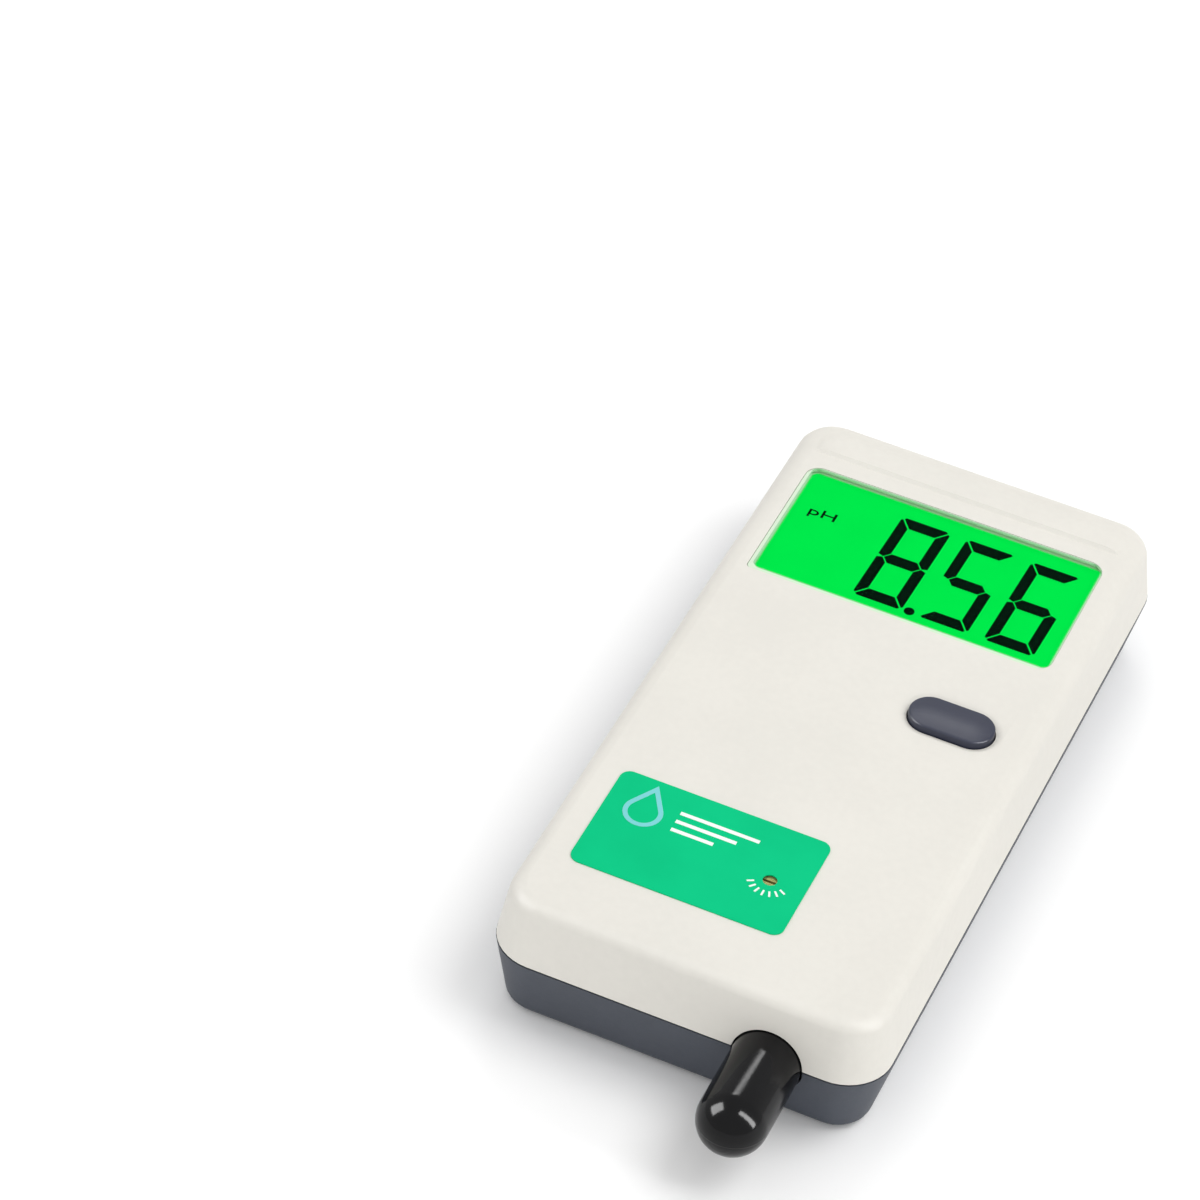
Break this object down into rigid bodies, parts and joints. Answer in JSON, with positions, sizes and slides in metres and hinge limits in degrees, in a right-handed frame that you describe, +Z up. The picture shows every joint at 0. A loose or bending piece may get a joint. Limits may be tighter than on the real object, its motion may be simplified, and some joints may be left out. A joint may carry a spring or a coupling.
{
  "type": "digital ph meter",
  "caption": "Handheld pH meter: backlit number display, push button, green label over a trimmer, sliding battery door, and a bayonet probe jack under a pull-off rubber cap.",
  "frame": {"origin": "on the underside's plane, under the middle of the case", "axes": "+X across the case to the right, +Y from the jack end to the display end, +Z up out of the display"},
  "size_m": [0.0736, 0.171, 0.0282],
  "materials": {
    "cream_plastic": "fine matt moulding",
    "grey_plastic": "satin moulding",
    "clear_window": "clear acrylic, polished",
    "green_display": "lit liquid crystal glass",
    "black_segments": "dark liquid crystal",
    "light_block": "clear moulded light guide",
    "pink_rubber": "soft silicone",
    "button_grey": "satin moulding",
    "green_label": "printed film, satin",
    "label_blue": "printed ink",
    "label_white": "printed ink",
    "brass": "turned",
    "blue_plastic": "moulded",
    "black_plastic": "moulded",
    "ivory_plastic": "moulded",
    "board_green": "solder mask over glass fibre",
    "capacitor_cans": "drawn cans",
    "dark_ceramic": "matt",
    "steel": "plated",
    "nickel": "nickel plated brass",
    "white_insulator": "turned fluoropolymer",
    "gold_contact": "gold plated",
    "tinned_brass": "tinned",
    "red_lead": "wire insulation",
    "black_lead": "wire insulation",
    "black_rubber": "dipped, glossy",
    "cell_sleeve": "shrink sleeve"
  },
  "bodies": {
    "case": {"top_shell": "cream_plastic", "bottom_shell": "grey_plastic", "lcd_window": "clear_window", "lcd_frame": "black_plastic", "lcd_glass": "green_display", "lcd_segments": "black_segments", "backlight": "light_block", "zebra_strips": "pink_rubber", "switch_body": "black_plastic", "label": "green_label", "label_emblem": "label_blue", "label_rules": "label_white", "trimmer_body": "blue_plastic", "circuit_board": "board_green", "main_chip": "black_plastic", "amplifier_chip": "black_plastic", "capacitors": "capacitor_cans", "resistors": "dark_ceramic", "crystal": "steel", "jack_body": "nickel", "jack_insulator": "white_insulator", "jack_contact": "gold_contact", "ground_tag": "tinned_brass", "jack_nut": "nickel", "signal_lead": "red_lead", "shield_lead": "black_lead", "battery_cells": "cell_sleeve", "battery_contacts": "steel", "case_screws": "steel", "board_screws": "steel"},
    "button": {"button_cap": "button_grey", "switch_plunger": "ivory_plastic"},
    "trimmer": {"trimmer_screw": "brass"},
    "cap": {"dust_cap": "black_rubber"},
    "door": {"battery_door": "grey_plastic"}
  },
  "joints": [
    {"name": "button_press", "type": "slide", "parent": "case", "child": "button", "axis": [0, 0, -1], "range_m": [0, 0.0009], "stiffness_N_per_m": 1500, "springref_m": -0.0003},
    {"name": "trimmer_turn", "type": "hinge", "parent": "case", "child": "trimmer", "pos_m": [0.0051, -0.04765, 0.023], "axis": [0, 0, 1], "range_deg": [-120, 120]},
    {"name": "dust_cap_pull", "type": "slide", "parent": "case", "child": "cap", "axis": [0, -1, 0], "range_m": [0, 0.045]},
    {"name": "door_slide", "type": "slide", "parent": "case", "child": "door", "axis": [0, 1, 0], "range_m": [0, 0.058]}
  ]
}
